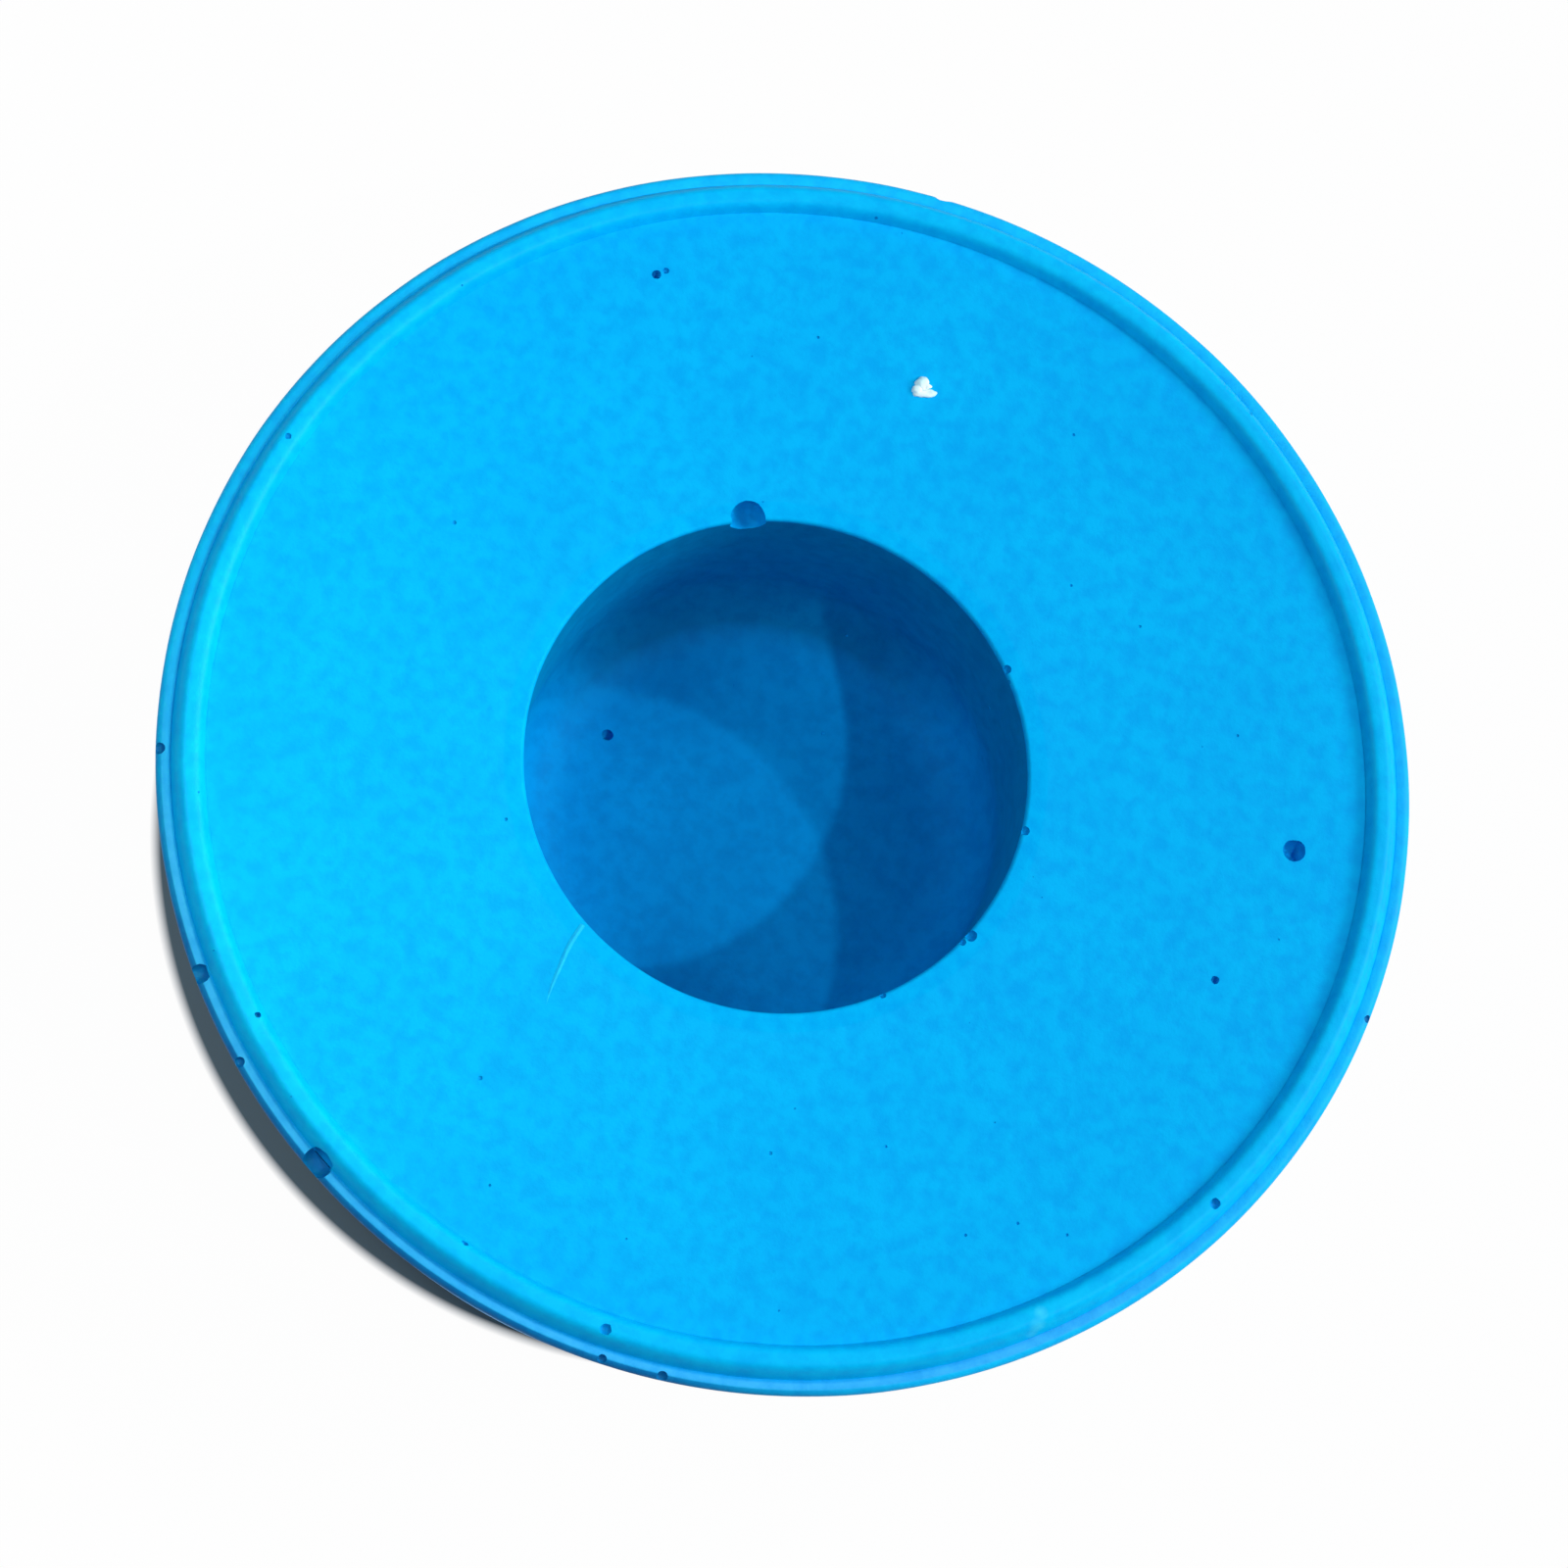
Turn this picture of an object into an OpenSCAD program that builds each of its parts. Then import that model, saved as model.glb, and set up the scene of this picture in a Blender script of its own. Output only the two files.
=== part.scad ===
// Round cast puck with a raised rim and a pocket in its face, built from four pieces.
// Millimetres, +Z up, resting on Z = 0 with its axis on Z. The pocket stands slightly off that axis.

/* [Puck] */
// Diameter across the outer lip
puck_d = 76.2; // [60:0.1:100]
// Height from the base to the crest of the rim
puck_h = 25.4; // [20:0.1:40]
// Inward lean of the side wall toward the base, in degrees
side_lean = 9; // [0:0.5:12]

/* [Outer shell] */
// Thickness of the side wall, which shows from above as the lip
shell_wall = 0.9; // [0.5:0.05:2]
// Thickness of the base
shell_base = 1.5; // [0.8:0.1:3]
// Rounding of the bottom edge
foot_r = 2.5; // [1:0.1:5]
// Drop from the face down to the top of the lip
lip_drop = 0.3; // [0:0.05:1]

/* [Rim ring] */
// Radial width of the ring
rim_w = 1.9; // [1.8:0.1:5]
// Rise of the crest above the face
rim_rise = 0.8; // [0.4:0.05:0.85]
// Depth of the ring's foot below the face
rim_foot = 2; // [1.5:0.1:5]

/* [Pocket cup] */
// Inside diameter of the pocket
pocket_d = 30.6; // [12:0.1:44]
// Distance of the pocket's axis from the puck's axis along X
pocket_x = -0.85; // [-2:0.05:2]
// Distance of the pocket's axis from the puck's axis along Y
pocket_y = -0.6; // [-2:0.05:2]
// Depth of the pocket below the face
pocket_depth = 15.5; // [6:0.1:20]
// Thickness of the cup's wall
cup_wall = 1.2; // [0.8:0.1:3]
// Thickness of the cup's floor
cup_floor = 1.5; // [0.8:0.1:4]
// Rounding of the pocket's mouth
mouth_r = 0.4; // [0.1:0.05:0.7]
// Rounding between the pocket's wall and floor
floor_r = 4; // [0.5:0.1:5]

/* [Fits] */
// Glue gap left on each side of a seated piece
fit_gap = 0.1; // [0.02:0.01:0.2]

/* [Hidden] */
$fn = 96;
// Extra length on cutters, so that no cut ends on a face
over = 1;
// Smallest rounding inside the shell's bottom edge
least_foot_r = 0.3;
// Heights of the face, of the lip's widest line, and of the seats under the ring and the cup
face_z = puck_h - rim_rise;
lip_z = face_z - lip_drop - shell_wall / 2;
ring_seat_z = face_z - rim_foot;
pocket_floor_z = face_z - pocket_depth;
cup_seat_z = pocket_floor_z - cup_floor;
// Radii of the puck, of the shell's inner wall at the lip, and of the ring
puck_r = puck_d / 2;
shell_in_r = puck_r - shell_wall;
rim_out_r = shell_in_r - fit_gap;
rim_in_r = rim_out_r - rim_w;
// Radius and centre height of the circle whose cap is the rim's rounded top
rim_cap_r = (rim_w * rim_w / 4 + rim_rise * rim_rise) / (2 * rim_rise);
rim_cap_z = puck_h - rim_cap_r;
// Radii of the pocket and of the cup around it
pocket_r = pocket_d / 2;
cup_r = pocket_r + cup_wall;
// Rounding inside the shell's bottom edge
inner_foot_r = max(foot_r - shell_wall, least_foot_r);

// Radius at height z of a wall that passes r at the lip and leans with the side
function leaning_r(r, z) = r - (lip_z - z) * tan(side_lean);

// Half section of a solid with the leaning wall, a flat bottom and a rounded bottom edge
module leaning_section(r, bottom, edge_r, top) {
    setback = edge_r / tan(45 + side_lean / 2);
    corner_r = leaning_r(r, bottom);
    polygon([
        [0, bottom],
        [corner_r - setback, bottom],
        [corner_r + setback * sin(side_lean), bottom + setback * cos(side_lean)],
        [leaning_r(r, top), top],
        [0, top]
    ]);
    translate([corner_r - setback, bottom + edge_r]) circle(edge_r);
}

// Thin leaning cup that holds the rest; its rounded top edge is the lip
module outer_shell() {
    color([0.30, 0.65, 0.96])
    rotate_extrude() {
        difference() {
            leaning_section(puck_r, 0, foot_r, lip_z);
            leaning_section(shell_in_r, shell_base, inner_foot_r, lip_z + over);
        }
        translate([puck_r - shell_wall / 2, lip_z]) circle(shell_wall / 2);
    }
}

// Poured filling with the flat face, stepped at its edge for the ring and bored for the cup
module cast_core() {
    color([0.0, 0.70, 0.97])
    difference() {
        rotate_extrude() difference() {
            leaning_section(shell_in_r - fit_gap, shell_base, inner_foot_r, face_z);
            translate([rim_in_r - fit_gap, ring_seat_z]) square([puck_r, rim_foot + over]);
        }
        translate([pocket_x, pocket_y, cup_seat_z]) cylinder(h = puck_h, r = cup_r + fit_gap);
    }
}

// Raised ring with a rounded top, seated on the filling's step inside the shell
module rim_ring() {
    color([0.05, 0.78, 0.98])
    rotate_extrude() intersection() {
        polygon([
            [rim_in_r, ring_seat_z],
            [leaning_r(rim_out_r, ring_seat_z), ring_seat_z],
            [rim_out_r, lip_z],
            [rim_out_r, puck_h + over],
            [rim_in_r, puck_h + over]
        ]);
        union() {
            translate([rim_in_r + rim_w / 2, rim_cap_z]) circle(rim_cap_r);
            translate([rim_in_r - over, ring_seat_z - over])
                square([rim_w + 2 * over, rim_cap_z - ring_seat_z + over]);
        }
    }
}

// Round cup that lines the pocket, with a rounded floor, seated on the floor of its bore
module pocket_cup() {
    color([0.0, 0.48, 0.76])
    translate([pocket_x, pocket_y, 0]) rotate_extrude() {
        difference() {
            translate([0, cup_seat_z]) square([cup_r, face_z - cup_seat_z]);
            translate([0, pocket_floor_z]) square([pocket_r - floor_r, pocket_depth]);
            translate([0, pocket_floor_z + floor_r]) square([pocket_r, pocket_depth]);
            translate([pocket_r - floor_r, pocket_floor_z + floor_r]) circle(floor_r);
            translate([0, face_z - mouth_r]) square([pocket_r + mouth_r, mouth_r + over]);
        }
        intersection() {
            translate([pocket_r + mouth_r, face_z - mouth_r]) circle(mouth_r);
            translate([pocket_r, face_z - mouth_r]) square(mouth_r);
        }
    }
}

outer_shell();
cast_core();
rim_ring();
pocket_cup();
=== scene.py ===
import math

import bmesh
import bpy
from mathutils import Matrix, Vector, noise


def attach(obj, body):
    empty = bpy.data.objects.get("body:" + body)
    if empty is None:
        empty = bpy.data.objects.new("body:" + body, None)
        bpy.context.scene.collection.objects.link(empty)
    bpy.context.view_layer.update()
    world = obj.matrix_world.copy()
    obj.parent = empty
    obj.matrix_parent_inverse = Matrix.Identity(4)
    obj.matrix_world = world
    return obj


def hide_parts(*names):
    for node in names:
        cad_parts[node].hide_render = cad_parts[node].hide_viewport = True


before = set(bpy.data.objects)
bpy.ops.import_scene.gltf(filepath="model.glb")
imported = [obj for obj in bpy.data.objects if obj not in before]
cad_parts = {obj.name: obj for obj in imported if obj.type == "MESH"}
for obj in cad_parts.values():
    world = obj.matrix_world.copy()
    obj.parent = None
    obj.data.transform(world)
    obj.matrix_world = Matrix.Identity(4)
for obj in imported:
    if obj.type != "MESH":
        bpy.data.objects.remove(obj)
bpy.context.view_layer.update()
mm = 0.001
print("frame:", ", ".join(sorted(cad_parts)))

# sizes in mm; radius, height, lean, rise, drop and pocket shift are those of the solids
puck = {
    "radius": 38.1,      # over the lip
    "height": 25.4,      # to the crest of the rim
    "lean": 9.0,         # degrees, side wall
    "rimRise": 0.8,
    "lipDrop": 0.3,
    "wobble": 0.05,      # hand-cast unevenness, shared so that the seams stay closed
    "wobbleSize": 11,
    "wobbleFade": 2.0,   # height over which it sets in, above the still part of a piece
    "weld": 0.002,       # closes the seam and the poles of a turned piece
    "pocketShift": (-0.85, -0.6, 0),   # the pocket stands off the axis
    "shiftFade": (17, 30),             # radii over which that shift dies out in the face
}
faceZ = puck["height"] - puck["rimRise"]


def polar(radius, degrees, height):
    turn = math.radians(degrees)
    return radius * math.cos(turn), radius * math.sin(turn), height


def inPocket(radius, degrees, height):
    # polar about the pocket's own axis
    return tuple(Vector(polar(radius, degrees, height)) + Vector(puck["pocketShift"]))


def spotAbove(level, spot):
    # a spot given by its place, its height above a level and its size
    across, along, above, size = spot
    return across, along, level + above, size


def arcPoints(centre, radius, start, end, count):
    points = []
    for i in range(count + 1):
        turn = math.radians(start + (end - start) * i / count)
        points.append((centre[0] + radius * math.cos(turn), centre[1] + radius * math.sin(turn)))
    return points


def tracedProfile(corners, step, leastRun=1e-6):
    # corner points joined by straight runs of short steps; corners that coincide count once
    points = [corners[0]]
    for start, end in zip(corners, corners[1:]):
        run = math.dist(start, end)
        if run < leastRun:
            continue
        count = max(1, round(run / step))
        for i in range(1, count + 1):
            points.append(tuple(a + (b - a) * i / count for a, b in zip(start, end)))
    return points


def addObject(name, data):
    thing = bpy.data.objects.new(name, data)
    bpy.context.scene.collection.objects.link(thing)
    return thing


def pointsObject(name, points, **layers):
    mesh = bpy.data.meshes.new(name)
    mesh.from_pydata([Vector(point) * mm for point in points], [], [])
    for label, values in layers.items():
        mesh.attributes.new(label, "FLOAT", "POINT").data.foreach_set("value", values)
    return addObject(name, mesh)


def startTree(name, inputs):
    tree = bpy.data.node_groups.new(name, "GeometryNodeTree")
    tree.interface.new_socket("Geometry", in_out="INPUT", socket_type="NodeSocketGeometry")
    for label, kind in inputs.items():
        tree.interface.new_socket(label, in_out="INPUT", socket_type="NodeSocket" + kind)
    tree.interface.new_socket("Geometry", in_out="OUTPUT", socket_type="NodeSocketGeometry")
    return tree, tree.nodes.new("NodeGroupInput").outputs, tree.nodes.new("NodeGroupOutput")


def addNode(tree, kind, links=None, **settings):
    node = tree.nodes.new(kind)
    for key, value in settings.items():
        setattr(node, key, value)
    for socket, source in (links or {}).items():
        target = node.inputs[socket]
        if isinstance(source, bpy.types.NodeSocket):
            tree.links.new(source, target)
        else:
            target.default_value = source
    return node


def mathNode(tree, operation, a, b=0.0):
    return addNode(tree, "ShaderNodeMath", {0: a, 1: b}, operation=operation).outputs[0]


def vectorNode(tree, operation, a, b=(0, 0, 0)):
    second = "Scale" if operation == "SCALE" else 1
    node = addNode(tree, "ShaderNodeVectorMath", {0: a, second: b}, operation=operation)
    return node.outputs["Value" if operation in ("DISTANCE", "DOT_PRODUCT", "LENGTH") else "Vector"]


def rangeNode(tree, value, start, end, low=0.0, high=1.0):
    return addNode(tree, "ShaderNodeMapRange", {"Value": value, "From Min": start, "From Max": end,
                                                "To Min": low, "To Max": high}).outputs[0]


def noiseNode(tree, place, scale, detail=2.0, roughness=0.5):
    return addNode(tree, "ShaderNodeTexNoise", {"Vector": place, "Scale": scale, "Detail": detail,
                                                "Roughness": roughness}).outputs


def strayed(tree, place, scale, reach):
    # how far a soft noise moves a point, at most half the reach each way
    centred = vectorNode(tree, "SUBTRACT", noiseNode(tree, place, scale)["Color"], (0.5, 0.5, 0.5))
    return vectorNode(tree, "SCALE", centred, reach)


def endTree(tree, result, geometry, finish):
    real = addNode(tree, "GeometryNodeRealizeInstances", {"Geometry": geometry})
    dressed = addNode(tree, "GeometryNodeSetMaterial", {"Geometry": real.outputs[0], "Material": finish})
    tree.links.new(dressed.outputs[0], result.inputs[0])
    return tree


# lathe: every point of the profile goes once round the axis, with a slight hand-cast wobble
def latheTree():
    tree, into, result = startTree("turnedPiece", {
        "Turns": "Int", "Wobble": "Float", "Wobble Size": "Float", "Still Below": "Float",
        "Wobble Fade": "Float", "Shift": "Vector", "Shift Inside": "Float", "Shift Outside": "Float",
        "Weld": "Float", "Finish": "Material"})
    rows = addNode(tree, "GeometryNodeAttributeDomainSize", {0: into["Geometry"]}).outputs["Point Count"]
    columns = mathNode(tree, "ADD", into["Turns"], 1.0)
    grid = addNode(tree, "GeometryNodeMeshGrid", {"Vertices X": columns, "Vertices Y": rows})
    index = addNode(tree, "GeometryNodeInputIndex").outputs[0]
    column = mathNode(tree, "FLOOR", mathNode(tree, "DIVIDE", mathNode(tree, "ADD", index, 0.5), rows))
    row = mathNode(tree, "SUBTRACT", index, mathNode(tree, "MULTIPLY", column, rows))
    place = addNode(tree, "GeometryNodeInputPosition").outputs[0]
    sampled = addNode(tree, "GeometryNodeSampleIndex", {
        "Geometry": into["Geometry"], "Value": place, "Index": row}, data_type="FLOAT_VECTOR")
    parts = addNode(tree, "ShaderNodeSeparateXYZ", {0: sampled.outputs[0]})
    radius, height = parts.outputs["X"], parts.outputs["Z"]
    turn = mathNode(tree, "MULTIPLY", mathNode(tree, "DIVIDE", column, into["Turns"]), 2 * math.pi)
    spun = addNode(tree, "ShaderNodeCombineXYZ", {
        "X": mathNode(tree, "MULTIPLY", radius, mathNode(tree, "COSINE", turn)),
        "Y": mathNode(tree, "MULTIPLY", radius, mathNode(tree, "SINE", turn)), "Z": height})
    inner = rangeNode(tree, radius, into["Shift Inside"], into["Shift Outside"], 1.0, 0.0)
    placed = vectorNode(tree, "ADD", spun.outputs[0], vectorNode(tree, "SCALE", into["Shift"], inner))
    fadeEnd = mathNode(tree, "ADD", into["Still Below"], into["Wobble Fade"])
    free = rangeNode(tree, height, into["Still Below"], fadeEnd)
    reach = mathNode(tree, "MULTIPLY", mathNode(tree, "MULTIPLY", into["Wobble"], 2.0), free)
    fine = mathNode(tree, "DIVIDE", 1.0, into["Wobble Size"])
    moved = vectorNode(tree, "ADD", placed, strayed(tree, placed, fine, reach))
    shaped = addNode(tree, "GeometryNodeSetPosition", {"Geometry": grid.outputs["Mesh"], "Position": moved})
    closed = addNode(tree, "GeometryNodeMergeByDistance", {
        "Geometry": shaped.outputs[0], "Distance": into["Weld"]})
    return endTree(tree, result, closed.outputs[0], into["Finish"])


# air bubbles: uneven balls at chosen points and scattered fine ones, all cut out of the piece
def bubbleTree():
    tree, into, result = startTree("airBubbles", {
        "Bubbles": "Object", "Unevenness": "Float", "Lump Scale": "Float", "Ball Detail": "Int",
        "Fine Density": "Float", "Fine Smallest": "Float", "Fine Largest": "Float", "Fine Detail": "Int",
        "Seed": "Int", "Finish": "Material"})
    place = addNode(tree, "GeometryNodeInputPosition").outputs[0]
    ball = addNode(tree, "GeometryNodeMeshIcoSphere", {"Radius": 1.0, "Subdivisions": into["Ball Detail"]})
    lumps = strayed(tree, place, into["Lump Scale"], into["Unevenness"])
    uneven = addNode(tree, "GeometryNodeSetPosition", {"Geometry": ball.outputs["Mesh"], "Offset": lumps})
    spots = addNode(tree, "GeometryNodeObjectInfo", {"Object": into["Bubbles"]})
    size = addNode(tree, "GeometryNodeInputNamedAttribute", {"Name": "bubbleSize"}, data_type="FLOAT")
    # turned by its place, so that a bubble shared by two pieces lies alike in both
    mark = addNode(tree, "FunctionNodeHashValue", {0: place}, data_type="VECTOR")
    tumble = addNode(tree, "FunctionNodeRandomValue", {1: (2 * math.pi,) * 3, "ID": mark.outputs[0]},
                     data_type="FLOAT_VECTOR")
    chosen = addNode(tree, "GeometryNodeInstanceOnPoints", {
        "Points": spots.outputs["Geometry"], "Instance": uneven.outputs[0], "Rotation": tumble.outputs[0],
        "Scale": size.outputs["Attribute"]})
    scatter = addNode(tree, "GeometryNodeDistributePointsOnFaces", {
        "Mesh": into["Geometry"], "Density": into["Fine Density"], "Seed": into["Seed"]})
    fineSize = addNode(tree, "FunctionNodeRandomValue", {
        2: into["Fine Smallest"], 3: into["Fine Largest"], "Seed": into["Seed"]}, data_type="FLOAT")
    fineBall = addNode(tree, "GeometryNodeMeshIcoSphere", {
        "Radius": 1.0, "Subdivisions": into["Fine Detail"]})
    fine = addNode(tree, "GeometryNodeInstanceOnPoints", {
        "Points": scatter.outputs["Points"], "Instance": fineBall.outputs["Mesh"],
        "Scale": fineSize.outputs[1]})
    balls = addNode(tree, "GeometryNodeJoinGeometry")
    for source in (fine, chosen):
        tree.links.new(source.outputs[0], balls.inputs[0])
    loose = addNode(tree, "GeometryNodeRealizeInstances", {"Geometry": balls.outputs[0]})
    # the finish darkens what a bubble has cut with painted shade, unless that bubble is plain
    plain = addNode(tree, "GeometryNodeInputNamedAttribute", {"Name": "bubblePlain"}, data_type="FLOAT")
    shade = mathNode(tree, "SUBTRACT", 1.0, plain.outputs["Attribute"])
    marked = addNode(tree, "GeometryNodeStoreNamedAttribute", {
        "Geometry": loose.outputs[0], "Name": "pitted", "Value": shade}, data_type="FLOAT", domain="FACE")
    cut = addNode(tree, "GeometryNodeMeshBoolean", {"Mesh 1": into["Geometry"], "Mesh 2": marked.outputs[0]},
                  operation="DIFFERENCE", solver="MANIFOLD")
    return endTree(tree, result, cut.outputs["Mesh"], into["Finish"])


# a thin raised thread along a drawn line, thinner toward its end
def threadTree():
    tree, into, result = startTree("flashThread", {
        "Thickness": "Float", "Taper": "Float", "Samples": "Int", "Sides": "Int", "Finish": "Material"})
    drawn = addNode(tree, "GeometryNodeMeshToCurve", {"Mesh": into["Geometry"]})
    smooth = addNode(tree, "GeometryNodeCurveSplineType", {"Curve": drawn.outputs[0]}, spline_type="BEZIER")
    easy = addNode(tree, "GeometryNodeCurveSetHandles", {"Curve": smooth.outputs[0]}, handle_type="AUTO")
    even = addNode(tree, "GeometryNodeResampleCurve", {"Curve": easy.outputs[0], "Count": into["Samples"]})
    share = addNode(tree, "GeometryNodeSplineParameter").outputs["Factor"]
    lost = mathNode(tree, "MULTIPLY", mathNode(tree, "POWER", share, 2.0), into["Taper"])
    thinned = mathNode(tree, "SUBTRACT", 1.0, lost)
    section = addNode(tree, "GeometryNodeCurvePrimitiveCircle", {
        "Resolution": into["Sides"], "Radius": into["Thickness"]})
    tube = addNode(tree, "GeometryNodeCurveToMesh", {
        "Curve": even.outputs[0], "Profile Curve": section.outputs[0], "Scale": thinned, "Fill Caps": True})
    return endTree(tree, result, tube.outputs[0], into["Finish"])


def runTree(thing, tree, values):
    modifier = thing.modifiers.new(tree.name, "NODES")
    modifier.node_group = tree
    for item in tree.interface.items_tree:
        if item.in_out == "INPUT" and item.name in values:
            modifier[item.identifier] = values[item.name]


def keepLargest(work):
    # slivers and closed specks that a cut leaves beside the piece itself are dropped
    left, islands = set(work.faces), []
    while left:
        island, front = [], [left.pop()]
        while front:
            face = front.pop()
            island.append(face)
            shared = [edge for edge in face.edges if len(edge.link_faces) == 2]
            near = {other for edge in shared for other in edge.link_faces} & left
            left -= near
            front += near
        islands.append(island)
    islands.sort(key=len)
    bmesh.ops.delete(work, geom=[face for island in islands[:-1] for face in island], context="FACES")


def plainMesh(thing, cut=False, weld=0.0005, sharpAngle=38):
    view = bpy.context.evaluated_depsgraph_get()
    mesh = bpy.data.meshes.new_from_object(thing.evaluated_get(view))
    thing.modifiers.clear()
    old, thing.data = thing.data, mesh
    bpy.data.meshes.remove(old)
    work = bmesh.new()
    work.from_mesh(mesh)
    bmesh.ops.remove_doubles(work, verts=work.verts, dist=weld * mm)
    if cut:
        bmesh.ops.triangulate(work, faces=work.faces)
        keepLargest(work)
    bmesh.ops.recalc_face_normals(work, faces=work.faces)
    work.to_mesh(mesh)
    work.free()
    mesh.shade_smooth()
    mesh.set_sharp_from_angle(angle=math.radians(sharpAngle))
    mesh.name = thing.name
    print(thing.name + ":", len(mesh.polygons), "faces")


def mixedTone(tree, share, low, high):
    return addNode(tree, "ShaderNodeMix", {0: share, 6: low, 7: high}, data_type="RGBA").outputs[2]


def mottledTone(tree, cloudy, dark, tones):
    clouded = mixedTone(tree, cloudy, (*tones["shade"], 1), (*tones["main"], 1))
    return mixedTone(tree, dark, clouded, (*tones["fleck"], 1))


# patterns in the skin: detail and roughness of each noise, the stretch of it that shows, depths in mm
skin = {"noises": {"cloud": (3.0, 0.55), "fleck": (4.0, 0.6), "smudge": (5.0, 0.65), "grain": (2.0, 0.5)},
        "cloudRange": (0.3, 0.7), "fleckRange": (0.6, 0.35), "smudgeRange": (0.62, 0.72),
        "sheenRange": (0.3, 0.7), "peelDepth": 0.3, "poreDepth": 0.1, "scuffCore": 0.3, "scuffStrength": 0.7}


def bandMask(tree, place, flecks, band):
    # all above a height, with a ragged edge
    height = addNode(tree, "ShaderNodeSeparateXYZ", {0: place}).outputs["Z"]
    blurred = mathNode(tree, "ADD", height, mathNode(tree, "MULTIPLY", flecks, band["ragged"] * mm))
    mask = rangeNode(tree, blurred, band["from"] * mm, band["to"] * mm)
    if "toward" in band:   # on one side alone, fading out across the piece
        outside, inside = band["fade"]
        reach = vectorNode(tree, "DOT_PRODUCT", place, polar(1, band["toward"], 0))
        mask = mathNode(tree, "MULTIPLY", mask, rangeNode(tree, reach, outside * mm, inside * mm))
    if "within" in band:   # near the axis alone, fading out between two radii
        inside, outside = band["within"]
        fromAxis = vectorNode(tree, "LENGTH", vectorNode(tree, "MULTIPLY", place, (1, 1, 0)))
        mask = mathNode(tree, "MULTIPLY", mask, rangeNode(tree, fromAxis, outside * mm, inside * mm))
    return mask


def scuffMask(tree, place, scuff):
    *centre, radius = scuff
    away = vectorNode(tree, "DISTANCE", place, [part * mm for part in centre])
    return rangeNode(tree, away, radius * mm, skin["scuffCore"] * radius * mm, 0.0, skin["scuffStrength"])


# cast rubber: clouded blue with fine specks, a soft skin texture and an uneven sheen
def castFinish(name, look):
    finish = bpy.data.materials.new(name)
    finish.use_nodes = True
    tree = finish.node_tree
    shader = tree.nodes["Principled BSDF"]
    shader.inputs["Specular IOR Level"].default_value = look["gloss"]
    place = addNode(tree, "ShaderNodeTexCoord").outputs["Object"]
    noises = {label: noiseNode(tree, place, look[label + "Scale"], *grade)["Fac"]
              for label, grade in skin["noises"].items()}
    cloudy = rangeNode(tree, noises["cloud"], *skin["cloudRange"])
    specked = rangeNode(tree, noises["fleck"], *skin["fleckRange"], high=look["fleckDepth"])
    smudged = rangeNode(tree, noises["smudge"], *skin["smudgeRange"], high=look["smudgeDepth"])
    dark = mathNode(tree, "MAXIMUM", specked, smudged)
    colour = mottledTone(tree, cloudy, dark, look)
    pitted = addNode(tree, "ShaderNodeAttribute", attribute_name="pitted").outputs["Fac"]
    layers = [(bandMask(tree, place, noises["fleck"], band), band["tones"]) for band in look.get("bands", [])]
    layers += [(scuffMask(tree, place, scuff), scuffTones) for scuff in look.get("scuffs", [])]
    # bubble cuts get painted shade
    layers += [(pitted, look["pits"])]
    for mask, layerTones in layers:
        colour = mixedTone(tree, mask, colour, mottledTone(tree, cloudy, dark, layerTones))
    tree.links.new(colour, shader.inputs["Base Color"])
    sheen = rangeNode(tree, noises["fleck"], *skin["sheenRange"], *look["rough"])
    tree.links.new(sheen, shader.inputs["Roughness"])
    peel = addNode(tree, "ShaderNodeBump", {"Height": noises["fleck"], "Strength": look["peel"],
                                            "Distance": skin["peelDepth"] * mm})
    pores = addNode(tree, "ShaderNodeBump", {"Height": noises["grain"], "Strength": look["pores"],
                                             "Distance": skin["poreDepth"] * mm, "Normal": peel.outputs[0]})
    tree.links.new(pores.outputs[0], shader.inputs["Normal"])
    return finish


def toneSet(main, shade, fleck):
    return {"main": main, "shade": shade, "fleck": fleck}


faceTones = toneSet((0.0, 0.48, 0.93), (0.0, 0.44, 0.9), (0.0, 0.3, 0.8))
rimTones = toneSet((0.0, 0.55, 0.97), (0.0, 0.5, 0.94), (0.0, 0.36, 0.86))
lipTones = toneSet((0.04, 0.47, 0.92), (0.025, 0.43, 0.89), (0.0, 0.32, 0.8))
# painted shade for the pocket's wall, darker than its floor
wallShadeTones = toneSet((0.0, 0.275, 0.56), (0.0, 0.235, 0.51), (0.0, 0.16, 0.4))
# painted shade inside bubble cuts in the face, rim and pocket
pitShadeTones = toneSet((0.0, 0.36, 0.8), (0.0, 0.32, 0.74), (0.0, 0.22, 0.6))
# painted shade for the groove beside the ring
grooveShadeTones = toneSet((0.0, 0.36, 0.8), (0.0, 0.32, 0.76), (0.0, 0.24, 0.64))
# painted shade for the chips and under and beside the lip
chipShadeTones = toneSet((0.0, 0.2, 0.5), (0.0, 0.16, 0.44), (0.0, 0.1, 0.34))
# painted shade for the far corner of the pocket's floor
cornerShadeTones = toneSet((0.0, 0.2, 0.46), (0.0, 0.175, 0.42), (0.0, 0.12, 0.34))
scuffTones = toneSet((0.05, 0.7, 1.0), (0.03, 0.65, 1.0), (0.02, 0.5, 0.95))

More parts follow.
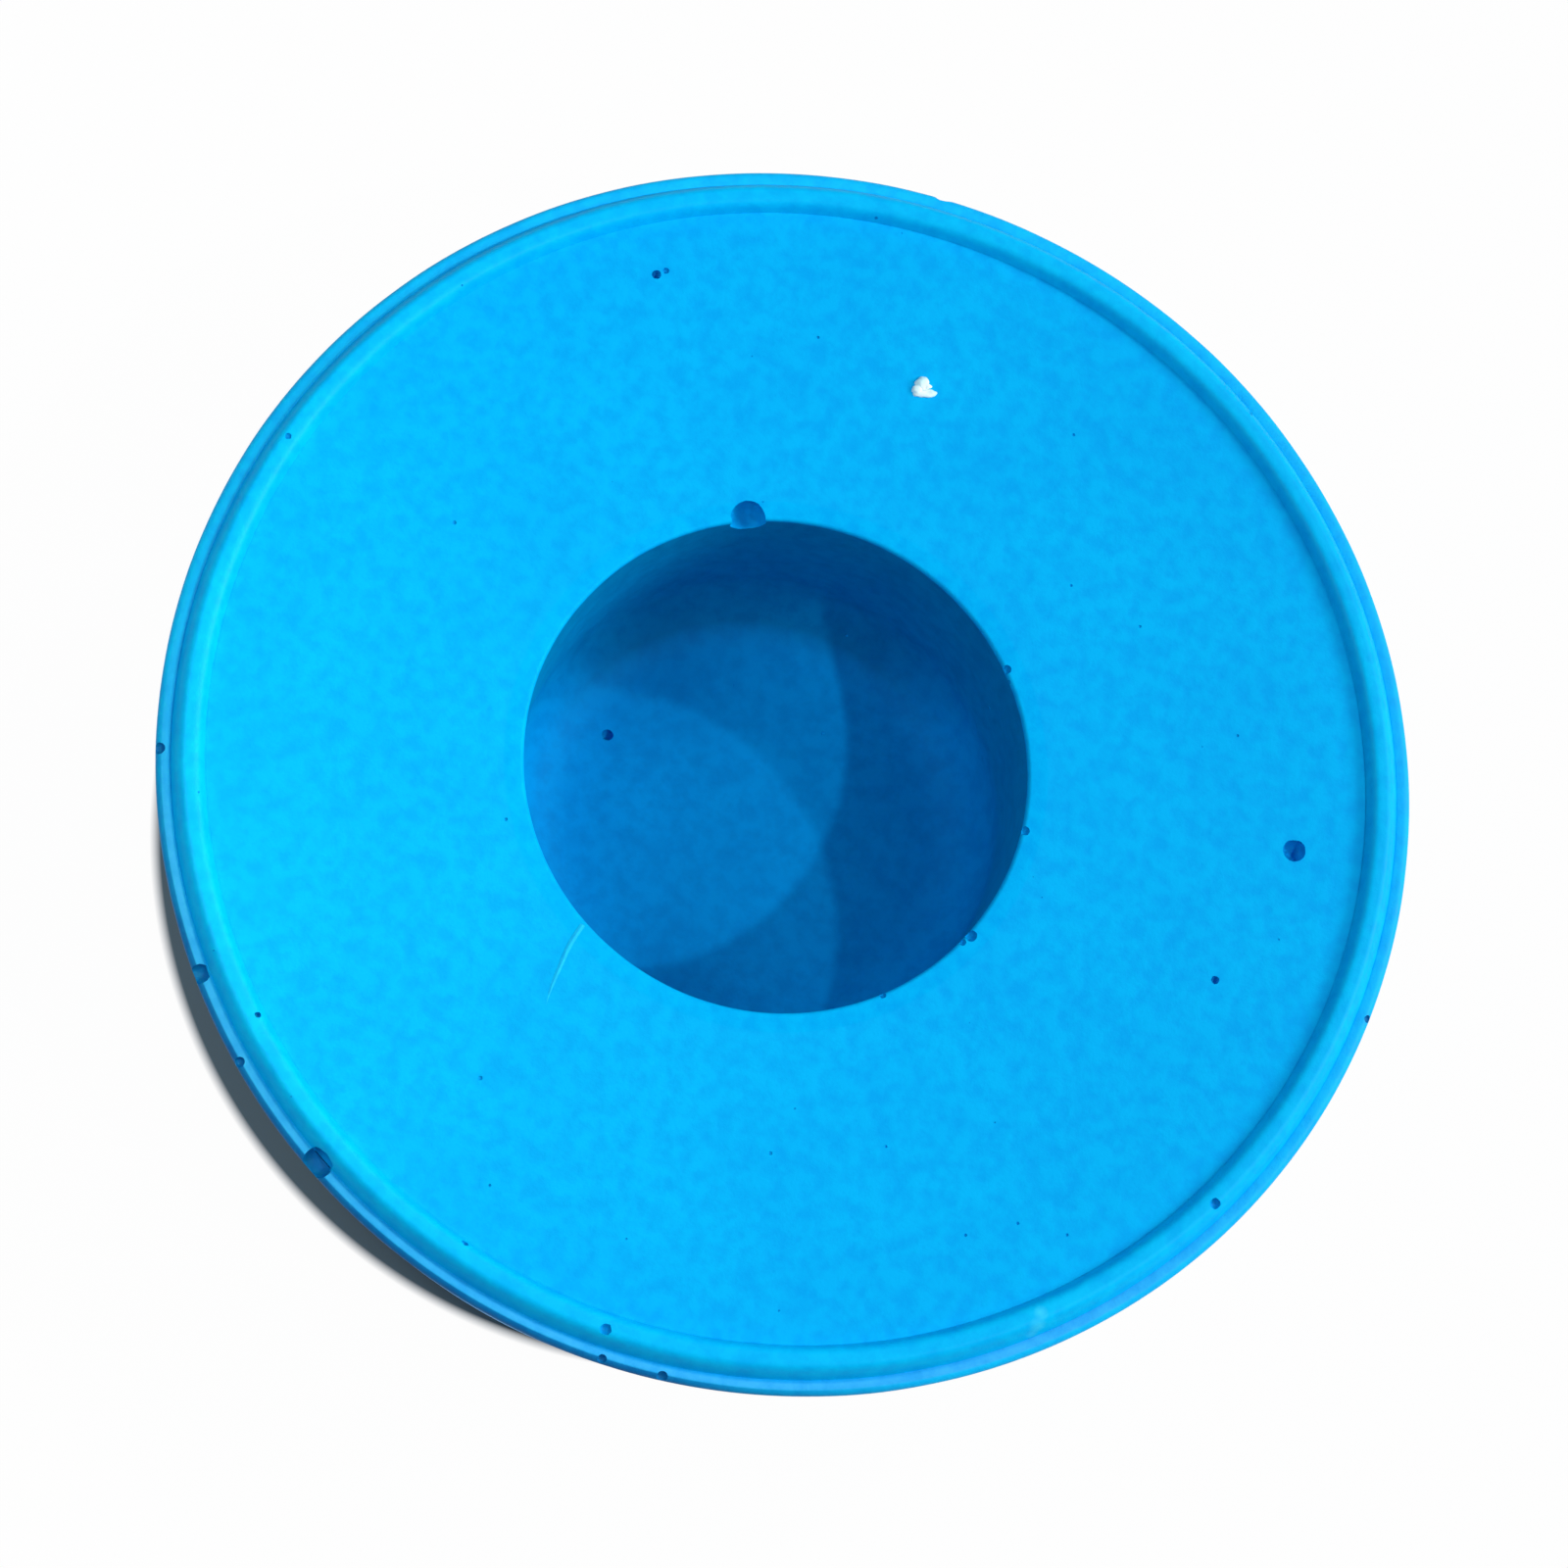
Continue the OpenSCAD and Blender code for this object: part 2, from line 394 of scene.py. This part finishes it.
# heights, radii and fades of the bands are in mm, and their sides in degrees
faceLook = dict(faceTones, pits=pitShadeTones, gloss=0.04, rough=(0.5, 0.62), cloudScale=120, fleckScale=900,
                fleckDepth=0.45, smudgeScale=240, smudgeDepth=0.5, grainScale=6000, peel=0.12, pores=0.1)
rimLook = dict(faceLook, **rimTones, gloss=0.06, rough=(0.4, 0.52), scuffs=[
    (*polar(36.15, -39.5, 25.3), 0.5), (*polar(36.7, -40.2, 25.1), 0.6), (*polar(37.1, -40.8, 24.7), 0.45)])
shellLook = dict(
    faceLook, pits=chipShadeTones, main=(0.0, 0.42, 0.86), shade=(0.0, 0.34, 0.78), gloss=0.12, rough=(0.45, 0.6),
    cloudScale=70, peel=0.2, bands=[
        # painted shade as a dark line below the lip, the lip itself, and painted shade on its near side
        {"from": 22.9, "to": 23.4, "ragged": 0.3, "tones": chipShadeTones},
        {"from": 23.55, "to": 23.75, "ragged": 0.1, "tones": rimTones},
        {"from": 23.3, "to": 23.5, "ragged": 0.1, "tones": chipShadeTones, "toward": -106, "fade": (22, 33)},
        # the lip's top, that top on the near side, and painted shade in the groove between it and the ring
        {"from": 24.16, "to": 24.26, "ragged": 0.1, "tones": rimTones, "within": (37.7, 37.82)},
        {"from": 24.2, "to": 24.3, "ragged": 0.1, "tones": lipTones, "toward": -90, "fade": (8, 22),
         "within": (37.7, 37.82)},
        {"from": 24.0, "to": 24.1, "ragged": 0.1, "tones": grooveShadeTones, "toward": -115, "fade": (8, 22),
         "within": (37.3, 37.45)}])
cupLook = dict(
    faceLook, main=(0.0, 0.31, 0.74), shade=(0.0, 0.275, 0.68), fleck=(0.0, 0.185, 0.53), gloss=0.02, bands=[
        # painted shade in the far corner of the floor, painted shade that darkens the wall, and the mouth,
        # level with the face
        {"from": 9.15, "to": 9.75, "ragged": 0.1, "tones": cornerShadeTones, "toward": 118, "fade": (6, 11.5)},
        {"from": 11, "to": 15, "ragged": 1, "tones": wallShadeTones},
        {"from": 24.25, "to": 24.4, "ragged": 0.1, "tones": faceTones}])
threadLook = dict(faceLook, main=(0.02, 0.57, 0.99), shade=(0.01, 0.54, 0.97))
crumbLook = dict(faceLook, main=(0.92, 1.0, 1.0), shade=(0.62, 0.95, 1.0), fleck=(0.5, 0.86, 0.95), gloss=0.3,
                 cloudScale=900)

lathe, bubbles, threads = latheTree(), bubbleTree(), threadTree()
bubble = {"lumpScale": 1.3, "detail": 4, "fineDetail": 2}   # form of the balls that are cut out


def castPiece(name, profile, spots, build, look):
    # turned from its profile, then pitted with its air bubbles; a fifth value in a spot makes it plain
    finish = castFinish(build["finish"], look)
    piece = pointsObject(name, [(radius, 0, height) for radius, height in profile])
    runTree(piece, lathe, {"Turns": build["turns"], "Wobble": puck["wobble"] * mm,
                           "Wobble Size": puck["wobbleSize"] * mm, "Wobble Fade": puck["wobbleFade"] * mm,
                           "Still Below": build["stillBelow"] * mm, "Weld": puck["weld"] * mm,
                           "Shift": [part * mm for part in build.get("shift", (0, 0, 0))],
                           "Shift Inside": puck["shiftFade"][0] * mm,
                           "Shift Outside": puck["shiftFade"][1] * mm, "Finish": finish})
    plainMesh(piece)
    holes = pointsObject(name + "Bubbles", [spot[:3] for spot in spots],
                         bubbleSize=[spot[3] * mm for spot in spots],
                         bubblePlain=[float(len(spot) > 4) for spot in spots])
    smallest, largest = build["fineSize"]
    runTree(piece, bubbles, {"Bubbles": holes, "Unevenness": build["unevenness"],
                             "Lump Scale": bubble["lumpScale"], "Ball Detail": bubble["detail"],
                             "Fine Density": build["fineDensity"], "Fine Detail": bubble["fineDetail"],
                             "Fine Smallest": smallest * mm, "Fine Largest": largest * mm,
                             "Seed": build["seed"], "Finish": finish})
    plainMesh(piece, cut=True)
    bpy.data.objects.remove(holes)
    return piece


def leaningRadius(radius, height):
    return radius - (lipZ - height) * math.tan(math.radians(puck["lean"]))


def leaningFoot(radius, bottom, edge):
    # from the end of the flat bottom round its edge to the start of the leaning wall
    setback = edge / math.tan(math.radians(45 + puck["lean"] / 2))
    corner = leaningRadius(radius, bottom)
    return arcPoints((corner - setback, bottom + edge), edge, -90, -puck["lean"], shell["footSteps"])


# in each piece, step is the spacing along its profile, turns the count of points round it, and
# stillBelow the height up to which nothing wobbles

# outer shell: side wall, base and the thin lip; chips are given by angle, radius and size
shell = {"wall": 0.9, "base": 1.5, "foot": 2.5, "footSteps": 10, "lipSteps": 8, "groove": 0.04, "step": 1.0,
         "turns": 320, "stillBelow": 2.5, "unevenness": 0.25, "fineDensity": 6000, "fineSize": (0.06, 0.2),
         "seed": 4, "finish": "shellRubber",
         "chipZ": 24.2,
         "chips": [(-152.3, 37.9, 0.36), (-131.2, 37.78, 0.6), (-122.5, 37.85, 0.32), (-80.3, 37.85, 0.28),
                   (-74.8, 37.9, 0.33), (4.1, 37.95, 0.24), (111.1, 38.2, 0.25)],
         "worn": (102.6, 38.85, 1.0),
         "notch": (*polar(37.55, -111.1, 24.3), 0.92)}   # reaches into the rim
shellInner = puck["radius"] - shell["wall"]
lipHalf = shell["wall"] / 2
lipZ = faceZ - puck["lipDrop"] - lipHalf
lipCentre = (puck["radius"] - lipHalf, lipZ)
grooveZ = lipZ + lipHalf - shell["groove"]
innerFoot = leaningFoot(shellInner, shell["base"], shell["foot"] - shell["wall"])
shoulder = [(lipCentre[0] - lipHalf * across, grooveZ + shell["groove"] * up)
            for across, up in arcPoints((0, 0), 1, 90, 0, shell["lipSteps"])]
shellProfile = tracedProfile(
    [(0, 0)] + leaningFoot(puck["radius"], 0, shell["foot"])
    + arcPoints(lipCentre, lipHalf, 0, 90, shell["lipSteps"]) + shoulder
    + innerFoot[::-1] + [(0, shell["base"])], shell["step"])
shellSpots = [(*polar(radius, around, shell["chipZ"]), size) for around, radius, size in shell["chips"]]
wornAngle, wornRadius, wornSize = shell["worn"]
shellSpots += [(*polar(wornRadius, wornAngle, shell["chipZ"]), wornSize, "plain"), shell["notch"]]
shellPiece = castPiece("shellSkin", shellProfile, shellSpots, shell, shellLook)

# rim ring: bead on its foot, steeper inside than outside; inside and outside are powers that shape it
rim = {"width": 1.9, "foot": 2.0, "gap": 0.1, "crest": 36.25, "inside": (4.5, 1.3), "outside": (2.4, 1.05),
       "beadSteps": 44, "tuck": 0.08, "step": 0.35, "turns": 320, "stillBelow": 20, "unevenness": 0.5,
       "fineDensity": 5000, "fineSize": (0.05, 0.12), "seed": 12, "finish": "rimRubber",
       "nicks": [(*polar(36.4, -19.6, 25.35), 0.34), (*polar(37.35, 4.1, 24.75), 0.28),
                 (*polar(36.35, -80.9, 25.4), 0.34), (*polar(35.8, -125.3, 25.2), 0.26),
                 (*polar(35.5, -96.1, 25.05), 0.24), shell["notch"], (*polar(36.9, 66.2, 25.2), 0.22),
                 (*polar(36.2, 175.5, 25.4), 0.2)]}
rimOuter = shellInner - rim["gap"]
rimInner = rimOuter - rim["width"]
ringSeat = faceZ - rim["foot"]


def beadSkin():
    # points over the bead from the lip inward; it eases into the groove outside and into the face inside
    points = []
    for i in range(rim["beadSteps"] + 1):
        radius = shellInner + (rimInner - shellInner) * i / rim["beadSteps"]
        inside = radius < rim["crest"]
        footRadius, footZ = (rimInner, faceZ) if inside else (shellInner, grooveZ)
        flat, ease = rim["inside"] if inside else rim["outside"]
        share = min(1, (radius - rim["crest"]) / (footRadius - rim["crest"]))
        points.append((radius, footZ + (puck["height"] - footZ) * (1 - share ** flat) ** ease))
    return points


tuckRadius = shellInner + rim["tuck"]   # under the lip's edge
rimProfile = tracedProfile(
    [(rimInner, ringSeat), (leaningRadius(rimOuter, ringSeat), ringSeat), (rimOuter, lipZ),
     (tuckRadius, lipZ), (tuckRadius, grooveZ - rim["tuck"])]
    + beadSkin() + [(rimInner, ringSeat)], rim["step"])
rimPiece = castPiece("rimBead", rimProfile, rim["nicks"], rim, rimLook)

# poured core: flat face, stepped at its edge for the ring and bored for the cup
# pits are given by place, height above the face and size
core = {"boreRadius": 16.5, "boreFloor": 7.6, "shift": puck["pocketShift"], "step": 0.5, "turns": 320,
        "stillBelow": 22, "unevenness": 0.3, "fineDensity": 5000, "fineSize": (0.04, 0.11), "seed": 7,
        "finish": "coreRubber",
        "pits": [(29.34, 9.85, -0.25, 0.74), (-21.59, 23.47, -0.2, 0.36), (-21.2, 23.98, 0, 0.2),
                 (28.49, 0.25, -0.15, 0.29), (-7.56, -26.14, 0.05, 0.14), (-24.9, 3.21, 0.03, 0.13),
                 (9.54, -21.97, 0.03, 0.12)],
        "mouthBubble": (-9.48, 12.35, -0.45, 1.15)}   # shared with the cup
coreProfile = tracedProfile(
    [(0, shell["base"])] + leaningFoot(rimOuter, shell["base"], shell["foot"] - shell["wall"])
    + [(leaningRadius(rimOuter, ringSeat), ringSeat), (rimInner, ringSeat), (rimInner, faceZ),
       (core["boreRadius"], faceZ), (core["boreRadius"], core["boreFloor"]), (0, core["boreFloor"])],
    core["step"])
mouthBubble = spotAbove(faceZ, core["mouthBubble"])
coreSpots = [spotAbove(faceZ, pit) for pit in core["pits"]] + [mouthBubble]
corePiece = castPiece("coreFace", coreProfile, coreSpots, core, faceLook)

# pocket cup: wall, floor and rounded mouth; nicks are given by angle, radius and size about its own axis
cup = {"pocketRadius": 15.3, "depth": 15.5, "mouth": 0.25, "mouthSteps": 8, "floorCove": 4.0, "coveSteps": 14,
       "shift": puck["pocketShift"], "step": 0.7, "turns": 256, "stillBelow": 8.2, "unevenness": 0.3,
       "fineDensity": 4000, "fineSize": (0.05, 0.14), "seed": 21, "finish": "cupRubber",
       "nickDrop": 0.05,
       "nicks": [(51.5, 15.45, 0.28), (13.2, 15.5, 0.28), (-14.4, 15.55, 0.36), (-16.8, 15.45, 0.22),
                 (-38.9, 15.4, 0.22)],
       "floorPit": (-11.28, 0.41, -0.25, 0.45)}   # place, height above the floor, size
pocketFloor = faceZ - cup["depth"]
mouthCentre = (cup["pocketRadius"] + cup["mouth"], faceZ - cup["mouth"])
coveCentre = (cup["pocketRadius"] - cup["floorCove"], pocketFloor + cup["floorCove"])
cupProfile = tracedProfile(
    [(0, core["boreFloor"]), (core["boreRadius"], core["boreFloor"]), (core["boreRadius"], faceZ)]
    + arcPoints(mouthCentre, cup["mouth"], 90, 180, cup["mouthSteps"])
    + arcPoints(coveCentre, cup["floorCove"], 0, -90, cup["coveSteps"]) + [(0, pocketFloor)], cup["step"])
nickZ = faceZ - cup["nickDrop"]
cupSpots = [(*inPocket(radius, around, nickZ), size) for around, radius, size in cup["nicks"]]
cupSpots += [spotAbove(pocketFloor, cup["floorPit"]), mouthBubble]
cupPiece = castPiece("cupLining", cupProfile, cupSpots, cup, cupLook)

# thin raised thread that runs from the pocket's mouth across the face
thread = {"line": [(-6.55, -15.1), (-6.64, -16.0), (-6.65, -16.8), (-6.55, -18.05), (-6.46, -19.1),
                   (-6.24, -20.3), (-5.9, -21.4)],
          "thickness": 0.2, "sunk": 0.1, "taper": 0.6, "samples": 28, "sides": 8}
threadZ = faceZ - thread["sunk"]
threadMesh = bpy.data.meshes.new("flashThread")
threadMesh.from_pydata([(x * mm, y * mm, threadZ * mm) for x, y in thread["line"]],
                       [(i, i + 1) for i in range(len(thread["line"]) - 1)], [])
threadPiece = addObject("flashThread", threadMesh)
runTree(threadPiece, threads, {"Thickness": thread["thickness"] * mm, "Taper": thread["taper"],
                               "Samples": thread["samples"], "Sides": thread["sides"],
                               "Finish": castFinish("threadRubber", threadLook)})
plainMesh(threadPiece)

# pale crumb of filler stuck in the face; each lump has a place, half sizes, a turn in degrees and a height
crumb = {"lumps": [(-4.0, 25.34, 0.42, 0.44, 29, 0.36), (-3.54, 24.83, 0.78, 0.25, 29, 0.2),
                   (-4.12, 24.8, 0.3, 0.3, 29, 0.26), (-3.6, 25.3, 0.24, 0.2, 60, 0.2)],
         "detail": 3, "roughness": 0.1, "roughSize": 0.3, "seed": 5}
crumbMesh = bpy.data.meshes.new("paleCrumb")
work = bmesh.new()
for x, y, wide, deep, turn, height in crumb["lumps"]:
    place = Matrix.Translation((x * mm, y * mm, faceZ * mm)) @ Matrix.Rotation(math.radians(turn), 4, "Z")
    place @= Matrix.Diagonal((wide * mm, deep * mm, height * mm, 1))
    bmesh.ops.create_icosphere(work, subdivisions=crumb["detail"], radius=1.0, matrix=place)
noise.seed_set(crumb["seed"])
for vertex in work.verts:
    vertex.co += noise.noise_vector(vertex.co / (crumb["roughSize"] * mm)) * crumb["roughness"] * mm
work.to_mesh(crumbMesh)
work.free()
crumbMesh.shade_smooth()
crumbMesh.materials.append(castFinish("crumbFiller", crumbLook))
crumbPiece = addObject("paleCrumb", crumbMesh)
print("paleCrumb:", len(crumbMesh.polygons), "faces")

for piece, node, slot in [(shellPiece, "outer_shell", "shell_rubber"), (rimPiece, "rim_ring", "ring_rubber"),
                          (corePiece, "cast_core", "core_rubber"), (cupPiece, "pocket_cup", "cup_rubber")]:
    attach(piece, "root")
    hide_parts(node)
for piece in (threadPiece, crumbPiece):
    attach(piece, "root")
print("pieces ride on root")


def seenRays(tree):
    # 1 for what the camera sees, directly, mirrored or through glass
    rays = addNode(tree, "ShaderNodeLightPath").outputs
    seen = mathNode(tree, "MAXIMUM", rays["Is Camera Ray"], rays["Is Glossy Ray"])
    return mathNode(tree, "MAXIMUM", seen, rays["Is Transmission Ray"])


# floor: white to the camera, but for a round patch painted dark as a shadow, that reaches out from under the
# puck
# half is in metres
floor = {"half": 3.0, "colour": (0.55, 0.55, 0.56, 1), "paintedShadow": (0.19, 0.235, 0.24, 1), "white": 0.98,
         "shadeCentre": (-3.65, -0.39, 0), "shade": (34.3, 35.0)}
floorMesh = bpy.data.meshes.new("paleFloor")
half = floor["half"]
floorMesh.from_pydata([(-half, -half, 0), (half, -half, 0), (half, half, 0), (-half, half, 0)], [],
                      [(0, 1, 2, 3)])
floorPiece = addObject("paleFloor", floorMesh)
paleFloor = bpy.data.materials.new("paleFloor")
paleFloor.use_nodes = True
floorTree = paleFloor.node_tree
floorTree.nodes.remove(floorTree.nodes["Principled BSDF"])
floorPlace = addNode(floorTree, "ShaderNodeTexCoord").outputs["Object"]
fromShade = vectorNode(floorTree, "DISTANCE", floorPlace, [part * mm for part in floor["shadeCentre"]])
away = rangeNode(floorTree, fromShade, floor["shade"][0] * mm, floor["shade"][1] * mm)
# painted shadow colour inside the patch, even where the lamps reach it
floorTone = mixedTone(floorTree, away, floor["paintedShadow"], floor["colour"])
lit = addNode(floorTree, "ShaderNodeBsdfDiffuse", {"Color": floorTone})
white = addNode(floorTree, "ShaderNodeEmission", {"Strength": 1.0})
bright = mathNode(floorTree, "MULTIPLY", away, floor["white"])
share = mathNode(floorTree, "MULTIPLY", seenRays(floorTree), bright)
blend = addNode(floorTree, "ShaderNodeMixShader", {0: share, 1: lit.outputs[0], 2: white.outputs[0]})
floorTree.links.new(blend.outputs[0], floorTree.nodes["Material Output"].inputs["Surface"])
floorMesh.materials.append(paleFloor)

# soft sky, three lamps from the right, and two small panels that light the left part
# each lamp: name, azimuth, elevation, power, width in degrees
# each panel: name, place, aim, size, power, spread in degrees, colour
light = {"sky": 0.16, "skyColour": (0.75, 1.0, 1.25, 1), "white": (1, 1, 1, 1),
         "lamps": [("farLamp", 61.9, 52.9, 0.56, 2), ("rightLamp", -5.9, 55.6, 0.76, 2),
                   ("lowLamp", 28, 31, 2.05, 24)],
         "panels": [("softPanel", (-79.5, -42.3, 130), (-40, -21.3, 0), 50, 0.055, 180, (1, 1, 1)),
                    ("leftPanel", (15, 10, 130), (-32, -27, 24.6), 20, 0.0013, 40, (1, 1, 0.1))]}
world = bpy.data.worlds.new("studio")
bpy.context.scene.world = world
world.use_nodes = True
skyTree = world.node_tree
sky = skyTree.nodes["Background"]
seen = seenRays(skyTree)
skyTree.links.new(mixedTone(skyTree, seen, light["skyColour"], light["white"]), sky.inputs["Color"])
skyTree.links.new(rangeNode(skyTree, seen, 0.0, 1.0, light["sky"], 1.0), sky.inputs["Strength"])


def addLamp(name, data, place, target):
    lamp = addObject(name, data)
    lamp.location = place
    lamp.rotation_euler = (Vector(target) - Vector(place)).to_track_quat("-Z", "Y").to_euler()
    return lamp


for name, azimuth, elevation, power, width in light["lamps"]:
    sun = bpy.data.lights.new(name, "SUN")
    sun.energy = power
    sun.angle = math.radians(width)
    rise = math.radians(elevation)
    addLamp(name, sun, polar(math.cos(rise), azimuth, math.sin(rise)), (0, 0, 0))
for name, place, target, size, power, spread, colour in light["panels"]:
    panel = bpy.data.lights.new(name, "AREA")
    panel.energy = power
    panel.size = size * mm
    panel.spread = math.radians(spread)
    panel.color = colour
    lamp = addLamp(name, panel, [part * mm for part in place], [part * mm for part in target])
    lamp.visible_camera = False

# camera at the photograph's angle, in mm and degrees
# frame, focal and nudge are in pixels of a 1600 frame, nearClip in metres
shot = {"frame": 1600, "focal": 4750, "sensor": 36, "nearClip": 0.01, "distance": 280, "elevation": 73.43,
        "roll": 27.99, "aimZ": 24.5, "nudge": (11.0, -22.8)}
rise, roll = math.radians(shot["elevation"]), math.radians(shot["roll"])
ahead = Vector((0, math.cos(rise), -math.sin(rise)))
side = Vector((1, 0, 0))
top = side.cross(ahead)
sideways = side * math.cos(roll) + top * math.sin(roll)
upward = top * math.cos(roll) - side * math.sin(roll)
pixel = shot["distance"] / shot["focal"]
stand = Vector((0, 0, shot["aimZ"])) - ahead * shot["distance"] - sideways * shot["nudge"][0] * pixel
stand += upward * shot["nudge"][1] * pixel
lens = bpy.data.cameras.new("photoView")
lens.sensor_width = shot["sensor"]
lens.lens = shot["sensor"] * shot["focal"] / shot["frame"]
lens.clip_start = shot["nearClip"]
camera = addObject("photoView", lens)
facing = Matrix((sideways, upward, -ahead)).transposed().to_4x4()
camera.matrix_world = Matrix.Translation(stand * mm) @ facing
bpy.context.scene.camera = camera
bpy.context.scene.view_settings.view_transform = "Standard"
print("camera, floor and lights set")
